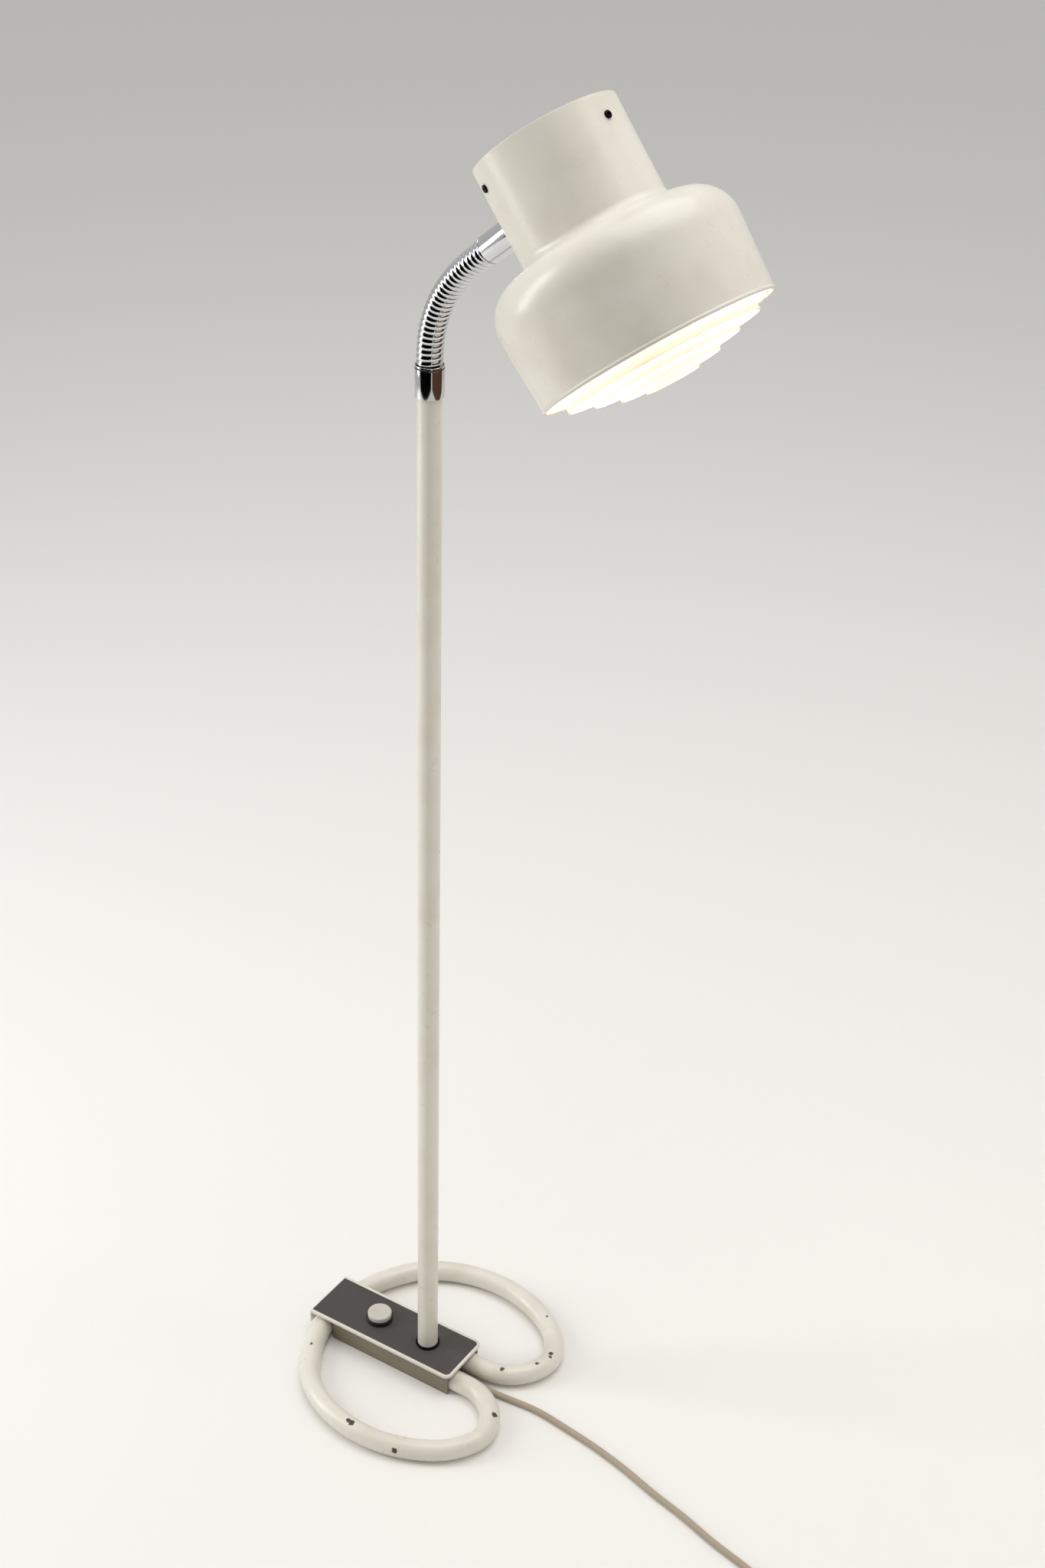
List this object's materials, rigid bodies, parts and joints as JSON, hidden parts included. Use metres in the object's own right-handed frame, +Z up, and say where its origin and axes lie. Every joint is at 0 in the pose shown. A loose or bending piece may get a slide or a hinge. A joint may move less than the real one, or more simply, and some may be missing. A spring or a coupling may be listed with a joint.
{
  "type": "floor lamp",
  "caption": "Reading floor lamp: bent-bar base with foot switch, straight post, short flexible neck and a round stepped metal shade with a ring louvre.",
  "frame": {"origin": "on the post's axis at floor level, on the underside of the switch housing", "axes": "+X forward, the way the housing's front end and the lamp head point; +Y left; +Z up"},
  "size_m": [0.6411, 0.3061, 1.2799],
  "materials": {
    "lacquer": "satin lacquer, greige",
    "dark_sheet": "satin, dark brown",
    "panel": "matt, near black",
    "button": "satin, pale grey",
    "bezel": "matt black",
    "chrome": "polished",
    "steel": "zinc plated",
    "dark_steel": "blackened",
    "aluminium": "mill",
    "louvre": "white lacquer",
    "holder": "black thermoset",
    "ceramic": "glazed",
    "brass": "plain",
    "bulb_glass": "frosted",
    "bulb_cap": "plain",
    "terminal": "plain",
    "cord": "soft PVC, beige grey",
    "plug": "satin, beige grey"
  },
  "bodies": {
    "stand": {"base_bar": "lacquer", "housing": "dark_sheet", "cover": "lacquer", "top_panel": "panel", "bar_saddles": "steel", "housing_pillars": "steel", "base_screws": "steel", "switch_body": "holder", "switch_lid": "holder", "switch_bezel": "bezel", "button_spring": "steel", "terminal_block": "terminal", "terminal_screws": "brass", "base_leads": "cord", "cord_clamp": "plug", "foot_washer": "dark_steel", "post": "lacquer", "post_plugs": "steel", "foot_plate": "steel", "foot_nut": "steel", "post_cable": "cord", "lower_ferrule": "chrome", "goose_link_01": "chrome", "cord_free": "cord", "cord_coil": "cord", "cord_tie": "plug", "plug_body": "plug", "plug_pins": "brass"},
    "neck_link_02": {"goose_link_02": "chrome"},
    "neck_link_03": {"goose_link_03": "chrome"},
    "neck_link_04": {"goose_link_04": "chrome"},
    "neck_link_05": {"goose_link_05": "chrome"},
    "neck_link_06": {"goose_link_06": "chrome"},
    "neck_link_07": {"goose_link_07": "chrome"},
    "neck_link_08": {"goose_link_08": "chrome"},
    "neck_link_09": {"goose_link_09": "chrome"},
    "neck_link_10": {"goose_link_10": "chrome"},
    "neck_link_11": {"goose_link_11": "chrome"},
    "neck_link_12": {"goose_link_12": "chrome"},
    "head": {"goose_link_13": "chrome", "upper_ferrule": "chrome", "neck_washer": "steel", "shade": "lacquer", "holder_plate": "aluminium", "head_screws": "dark_steel", "lampholder_shell": "holder", "head_nipples": "steel", "head_nuts": "steel", "lampholder_core": "ceramic", "holder_contacts": "brass", "head_cable": "cord", "bulb_cap": "bulb_cap", "bulb_glass": "bulb_glass", "louvre_ring_1": "louvre", "louvre_ring_2": "louvre", "louvre_ring_3": "louvre", "louvre_ring_4": "louvre", "louvre_spokes": "louvre"},
    "button": {"button_cap": "button", "button_retainer": "steel"}
  },
  "joints": [
    {"name": "neck_bend_01", "type": "hinge", "parent": "stand", "child": "neck_link_02", "pos_m": [0, 0, 1.05606], "axis": [0.1045, 0.9945, 0], "range_deg": [-12.5, 5.5]},
    {"name": "neck_bend_02", "type": "hinge", "parent": "neck_link_02", "child": "neck_link_03", "pos_m": [0.00066, -0.00007, 1.0656], "axis": [0.1045, 0.9945, 0], "range_deg": [-12.5, 5.5]},
    {"name": "neck_sway_03", "type": "hinge", "parent": "neck_link_03", "child": "neck_link_04", "pos_m": [0.00223, -0.00023, 1.07503], "axis": [0.9606, -0.101, -0.2588], "range_deg": [-9.5, 9.5]},
    {"name": "neck_bend_04", "type": "hinge", "parent": "neck_link_04", "child": "neck_link_05", "pos_m": [0.00469, -0.00049, 1.08426], "axis": [0.1045, 0.9945, 0], "range_deg": [-12.5, 5.5]},
    {"name": "neck_bend_05", "type": "hinge", "parent": "neck_link_05", "child": "neck_link_06", "pos_m": [0.00802, -0.00084, 1.09321], "axis": [0.1045, 0.9945, 0], "range_deg": [-12.5, 5.5]},
    {"name": "neck_sway_06", "type": "hinge", "parent": "neck_link_06", "child": "neck_link_07", "pos_m": [0.01219, -0.00128, 1.10181], "axis": [0.848, -0.0891, -0.5225], "range_deg": [-9.5, 9.5]},
    {"name": "neck_bend_07", "type": "hinge", "parent": "neck_link_07", "child": "neck_link_08", "pos_m": [0.01716, -0.0018, 1.10996], "axis": [0.1045, 0.9945, 0], "range_deg": [-12.5, 5.5]},
    {"name": "neck_bend_08", "type": "hinge", "parent": "neck_link_08", "child": "neck_link_09", "pos_m": [0.02281, -0.0024, 1.11764], "axis": [0.1045, 0.9945, 0], "range_deg": [-12.5, 5.5]},
    {"name": "neck_sway_09", "type": "hinge", "parent": "neck_link_09", "child": "neck_link_10", "pos_m": [0.02905, -0.00305, 1.12486], "axis": [0.7032, -0.0739, -0.7071], "range_deg": [-9.5, 9.5]},
    {"name": "neck_bend_10", "type": "hinge", "parent": "neck_link_10", "child": "neck_link_11", "pos_m": [0.03577, -0.00376, 1.13162], "axis": [0.1045, 0.9945, 0], "range_deg": [-12.5, 5.5]},
    {"name": "neck_bend_11", "type": "hinge", "parent": "neck_link_11", "child": "neck_link_12", "pos_m": [0.04284, -0.0045, 1.13801], "axis": [0.1045, 0.9945, 0], "range_deg": [-12.5, 5.5]},
    {"name": "neck_sway_12", "type": "hinge", "parent": "neck_link_12", "child": "head", "pos_m": [0.05007, -0.00526, 1.14422], "axis": [0.6259, -0.0658, -0.7771], "range_deg": [-9.5, 9.5]},
    {"name": "button_press", "type": "slide", "parent": "stand", "child": "button", "axis": [0, 0, -1], "range_m": [0, 0.003], "stiffness_N_per_m": 400, "springref_m": -0.002, "deforming": ["button_spring"]}
  ]
}
